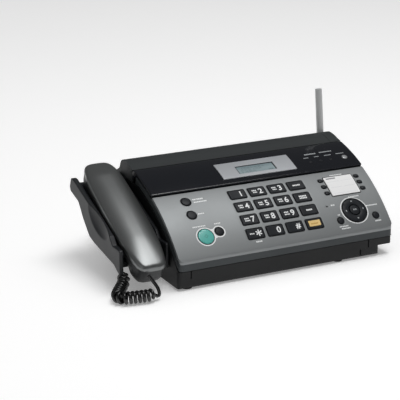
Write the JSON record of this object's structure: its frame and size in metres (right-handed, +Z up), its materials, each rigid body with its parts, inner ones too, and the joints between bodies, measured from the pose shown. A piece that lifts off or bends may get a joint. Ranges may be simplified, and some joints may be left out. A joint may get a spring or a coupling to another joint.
{
  "type": "fax machine",
  "caption": "Desktop fax machine with a corded handset in a side cradle, hinged keypad panel, document feed, thermal paper roll and stub antenna.",
  "frame": {"origin": "centre of the footprint on the floor, measured without the cord", "axes": "+X to the right as seen from the front, +Y to the back, +Z up"},
  "size_m": [0.3401, 0.2128, 0.1563],
  "materials": {
    "cabinet_dark": "satin dark grey moulded plastic",
    "cradle_grey": "satin dark grey moulded plastic",
    "cover_grey": "fine matte dark grey",
    "panel_silver": "metallic grey paint, satin",
    "gloss_band": "high gloss blue-black",
    "plate_silver": "silver paint",
    "display_glass": "clear window over a pale green-grey display",
    "card_white": "white paper card",
    "key_plastic": "satin black",
    "gold_key": "satin black with a gold centre",
    "green_button": "translucent sea green",
    "grey_trim": "silver grey",
    "handset_silver": "metallic grey paint, satin",
    "handset_dark": "satin dark grey",
    "black_trim": "satin black",
    "antenna_grey": "satin grey sleeve",
    "cord_black": "glossy black cable sheath",
    "circuit_board": "green solder mask",
    "steel": "plated steel",
    "sensor_black": "black",
    "speaker_black": "paper cone",
    "paper": "thermal paper",
    "roller_rubber": "matte rubber"
  },
  "bodies": {
    "base": {"lower_cabinet": "cabinet_dark", "handset_cradle": "cradle_grey", "main_board": "circuit_board", "power_board": "circuit_board", "speaker": "speaker_black", "drive_motor": "steel", "thermal_head": "steel", "image_sensor": "sensor_black", "line_jacks": "black_trim", "power_inlet": "black_trim", "cover_end": "cover_grey", "handset_cord": "cord_black"},
    "panel": {"operation_panel": "panel_silver", "panel_frame": "black_trim", "switch_board": "circuit_board", "display_band": "gloss_band", "display_surround": "plate_silver", "display_window": "display_glass", "directory_card": "card_white"},
    "cover": {"top_cover": "cover_grey"},
    "antenna_arm": {"antenna": "antenna_grey"},
    "handset": {"handset_top_shell": "handset_silver", "handset_lower_shell": "handset_dark"},
    "hook": {"hook_switch": "black_trim"},
    "roll": {"paper_roll": "paper"},
    "platen": {"platen_roller": "roller_rubber"},
    "feed": {"feed_roller": "roller_rubber"},
    "guide_left": {"document_guide_left": "black_trim"},
    "guide_right": {"document_guide_right": "black_trim"},
    "b_key_1": {"key_1": "key_plastic"},
    "b_key_2": {"key_2": "key_plastic"},
    "b_key_3": {"key_3": "key_plastic"},
    "b_function_key_1": {"function_key_1": "key_plastic"},
    "b_key_4": {"key_4": "key_plastic"},
    "b_key_5": {"key_5": "key_plastic"},
    "b_key_6": {"key_6": "key_plastic"},
    "b_function_key_2": {"function_key_2": "key_plastic"},
    "b_key_7": {"key_7": "key_plastic"},
    "b_key_8": {"key_8": "key_plastic"},
    "b_key_9": {"key_9": "key_plastic"},
    "b_function_key_3": {"function_key_3": "key_plastic"},
    "b_key_star": {"key_star": "key_plastic"},
    "b_key_0": {"key_0": "key_plastic"},
    "b_key_hash": {"key_hash": "key_plastic"},
    "b_function_key_4": {"function_key_4": "gold_key"},
    "b_caller_button": {"caller_button": "key_plastic"},
    "b_stop_button": {"stop_button": "key_plastic"},
    "b_start_button": {"start_button": "green_button"},
    "b_copy_button": {"copy_button": "key_plastic"},
    "b_menu_button": {"menu_button": "key_plastic"},
    "b_set_button": {"set_button": "key_plastic"},
    "b_speed_dial_left_1": {"speed_dial_left_1": "key_plastic"},
    "b_speed_dial_right_1": {"speed_dial_right_1": "key_plastic"},
    "b_speed_dial_left_2": {"speed_dial_left_2": "key_plastic"},
    "b_speed_dial_right_2": {"speed_dial_right_2": "key_plastic"},
    "b_speed_dial_left_3": {"speed_dial_left_3": "key_plastic"},
    "b_speed_dial_right_3": {"speed_dial_right_3": "key_plastic"},
    "b_navigation_ring": {"navigation_ring": "key_plastic"},
    "b_navigation_centre": {"navigation_centre": "key_plastic"},
    "b_band_button": {"band_button": "grey_trim"}
  },
  "joints": [
    {"name": "panel_hinge", "type": "hinge", "parent": "base", "child": "panel", "pos_m": [0, 0.01513, 0.09762], "axis": [-1, 0, 0], "range_deg": [0, 38]},
    {"name": "top_cover_hinge", "type": "hinge", "parent": "base", "child": "cover", "pos_m": [0, 0.057, 0.0883], "axis": [-1, 0, 0], "range_deg": [0, 75]},
    {"name": "handset_lift", "type": "slide", "parent": "base", "child": "handset", "axis": [0, -0.4415, 0.8973], "range_m": [0, 0.06]},
    {"name": "antenna_fold", "type": "hinge", "parent": "base", "child": "antenna_arm", "pos_m": [0.1543, 0.0506, 0.091], "axis": [-1, 0, 0], "range_deg": [-7, 73]},
    {"name": "guide_left_slide", "type": "slide", "parent": "base", "child": "guide_left", "axis": [1, 0, 0], "range_m": [0, 0.06]},
    {"name": "guide_right_slide", "type": "slide", "parent": "base", "child": "guide_right", "axis": [1, 0, 0], "range_m": [-0.06, 0]},
    {"name": "platen_spin", "type": "hinge", "parent": "base", "child": "platen", "pos_m": [0, -0.014, 0.071], "axis": [1, 0, 0], "continuous": true},
    {"name": "feed_spin", "type": "hinge", "parent": "base", "child": "feed", "pos_m": [0, -0.046, 0.049], "axis": [1, 0, 0], "continuous": true},
    {"name": "roll_spin", "type": "hinge", "parent": "base", "child": "roll", "pos_m": [0, 0.027, 0.044], "axis": [1, 0, 0], "continuous": true},
    {"name": "hook_travel", "type": "slide", "parent": "base", "child": "hook", "axis": [0, -0.4415, 0.8973], "range_m": [0, 0.0024]},
    {"name": "start_button_press", "type": "slide", "parent": "panel", "child": "b_start_button", "axis": [0, 0.6802, -0.733], "range_m": [0, 0.0007], "stiffness_N_per_m": 300, "springref_m": -0.001},
    {"name": "key_5_press", "type": "slide", "parent": "panel", "child": "b_key_5", "axis": [0, 0.5699, -0.8217], "range_m": [0, 0.0007], "stiffness_N_per_m": 300, "springref_m": -0.001},
    {"name": "navigation_ring_press", "type": "slide", "parent": "panel", "child": "b_navigation_ring", "axis": [0, 0.6717, -0.7408], "range_m": [0, 0.0007], "stiffness_N_per_m": 300, "springref_m": -0.001},
    {"name": "navigation_centre_press", "type": "slide", "parent": "panel", "child": "b_navigation_centre", "axis": [0, 0.6717, -0.7408], "range_m": [0, 0.0007], "stiffness_N_per_m": 300, "springref_m": -0.001},
    {"name": "copy_button_press", "type": "slide", "parent": "panel", "child": "b_copy_button", "axis": [0, 0.6673, -0.7448], "range_m": [0, 0.0007], "stiffness_N_per_m": 300, "springref_m": -0.001},
    {"name": "stop_button_press", "type": "slide", "parent": "panel", "child": "b_stop_button", "axis": [0, 0.5714, -0.8207], "range_m": [0, 0.0007], "stiffness_N_per_m": 300, "springref_m": -0.001},
    {"name": "band_button_press", "type": "slide", "parent": "panel", "child": "b_band_button", "axis": [0, 0.3595, -0.9331], "range_m": [0, 0.0007], "stiffness_N_per_m": 300, "springref_m": -0.001},
    {"name": "key_1_press", "type": "slide", "parent": "panel", "child": "b_key_1", "axis": [0, 0.4979, -0.8672], "range_m": [0, 0.0007], "stiffness_N_per_m": 300, "springref_m": -0.001},
    {"name": "key_2_press", "type": "slide", "parent": "panel", "child": "b_key_2", "axis": [0, 0.4979, -0.8672], "range_m": [0, 0.0007], "stiffness_N_per_m": 300, "springref_m": -0.001},
    {"name": "key_3_press", "type": "slide", "parent": "panel", "child": "b_key_3", "axis": [0, 0.4979, -0.8672], "range_m": [0, 0.0007], "stiffness_N_per_m": 300, "springref_m": -0.001},
    {"name": "function_key_1_press", "type": "slide", "parent": "panel", "child": "b_function_key_1", "axis": [0, 0.4979, -0.8672], "range_m": [0, 0.0007], "stiffness_N_per_m": 300, "springref_m": -0.001},
    {"name": "key_4_press", "type": "slide", "parent": "panel", "child": "b_key_4", "axis": [0, 0.5699, -0.8217], "range_m": [0, 0.0007], "stiffness_N_per_m": 300, "springref_m": -0.001},
    {"name": "key_6_press", "type": "slide", "parent": "panel", "child": "b_key_6", "axis": [0, 0.5699, -0.8217], "range_m": [0, 0.0007], "stiffness_N_per_m": 300, "springref_m": -0.001},
    {"name": "function_key_2_press", "type": "slide", "parent": "panel", "child": "b_function_key_2", "axis": [0, 0.5699, -0.8217], "range_m": [0, 0.0007], "stiffness_N_per_m": 300, "springref_m": -0.001},
    {"name": "key_7_press", "type": "slide", "parent": "panel", "child": "b_key_7", "axis": [0, 0.6377, -0.7703], "range_m": [0, 0.0007], "stiffness_N_per_m": 300, "springref_m": -0.001},
    {"name": "key_8_press", "type": "slide", "parent": "panel", "child": "b_key_8", "axis": [0, 0.6377, -0.7703], "range_m": [0, 0.0007], "stiffness_N_per_m": 300, "springref_m": -0.001},
    {"name": "key_9_press", "type": "slide", "parent": "panel", "child": "b_key_9", "axis": [0, 0.6377, -0.7703], "range_m": [0, 0.0007], "stiffness_N_per_m": 300, "springref_m": -0.001},
    {"name": "function_key_3_press", "type": "slide", "parent": "panel", "child": "b_function_key_3", "axis": [0, 0.6377, -0.7703], "range_m": [0, 0.0007], "stiffness_N_per_m": 300, "springref_m": -0.001},
    {"name": "key_star_press", "type": "slide", "parent": "panel", "child": "b_key_star", "axis": [0, 0.701, -0.7132], "range_m": [0, 0.0007], "stiffness_N_per_m": 300, "springref_m": -0.001},
    {"name": "key_0_press", "type": "slide", "parent": "panel", "child": "b_key_0", "axis": [0, 0.701, -0.7132], "range_m": [0, 0.0007], "stiffness_N_per_m": 300, "springref_m": -0.001},
    {"name": "key_hash_press", "type": "slide", "parent": "panel", "child": "b_key_hash", "axis": [0, 0.701, -0.7132], "range_m": [0, 0.0007], "stiffness_N_per_m": 300, "springref_m": -0.001},
    {"name": "function_key_4_press", "type": "slide", "parent": "panel", "child": "b_function_key_4", "axis": [0, 0.701, -0.7132], "range_m": [0, 0.0007], "stiffness_N_per_m": 300, "springref_m": -0.001},
    {"name": "caller_button_press", "type": "slide", "parent": "panel", "child": "b_caller_button", "axis": [0, 0.4947, -0.8691], "range_m": [0, 0.0007], "stiffness_N_per_m": 300, "springref_m": -0.001},
    {"name": "menu_button_press", "type": "slide", "parent": "panel", "child": "b_menu_button", "axis": [0, 0.7071, -0.7071], "range_m": [0, 0.0007], "stiffness_N_per_m": 300, "springref_m": -0.001},
    {"name": "set_button_press", "type": "slide", "parent": "panel", "child": "b_set_button", "axis": [0, 0.7083, -0.7059], "range_m": [0, 0.0007], "stiffness_N_per_m": 300, "springref_m": -0.001},
    {"name": "speed_dial_left_1_press", "type": "slide", "parent": "panel", "child": "b_speed_dial_left_1", "axis": [0, 0.4939, -0.8695], "range_m": [0, 0.0007], "stiffness_N_per_m": 300, "springref_m": -0.001},
    {"name": "speed_dial_right_1_press", "type": "slide", "parent": "panel", "child": "b_speed_dial_right_1", "axis": [0, 0.4955, -0.8686], "range_m": [0, 0.0007], "stiffness_N_per_m": 300, "springref_m": -0.001},
    {"name": "speed_dial_left_2_press", "type": "slide", "parent": "panel", "child": "b_speed_dial_left_2", "axis": [0, 0.5326, -0.8464], "range_m": [0, 0.0007], "stiffness_N_per_m": 300, "springref_m": -0.001},
    {"name": "speed_dial_right_2_press", "type": "slide", "parent": "panel", "child": "b_speed_dial_right_2", "axis": [0, 0.5333, -0.8459], "range_m": [0, 0.0007], "stiffness_N_per_m": 300, "springref_m": -0.001},
    {"name": "speed_dial_left_3_press", "type": "slide", "parent": "panel", "child": "b_speed_dial_left_3", "axis": [0, 0.5701, -0.8215], "range_m": [0, 0.0007], "stiffness_N_per_m": 300, "springref_m": -0.001},
    {"name": "speed_dial_right_3_press", "type": "slide", "parent": "panel", "child": "b_speed_dial_right_3", "axis": [0, 0.5701, -0.8215], "range_m": [0, 0.0007], "stiffness_N_per_m": 300, "springref_m": -0.001}
  ],
  "couplings": [
    {"joint": "guide_right_slide", "follows": "guide_left_slide", "ratio": -1},
    {"joint": "feed_spin", "follows": "platen_spin", "ratio": 1},
    {"joint": "roll_spin", "follows": "platen_spin", "ratio": -0.3043},
    {"joint": "hook_travel", "follows": "handset_lift", "ratio": 0.04}
  ]
}
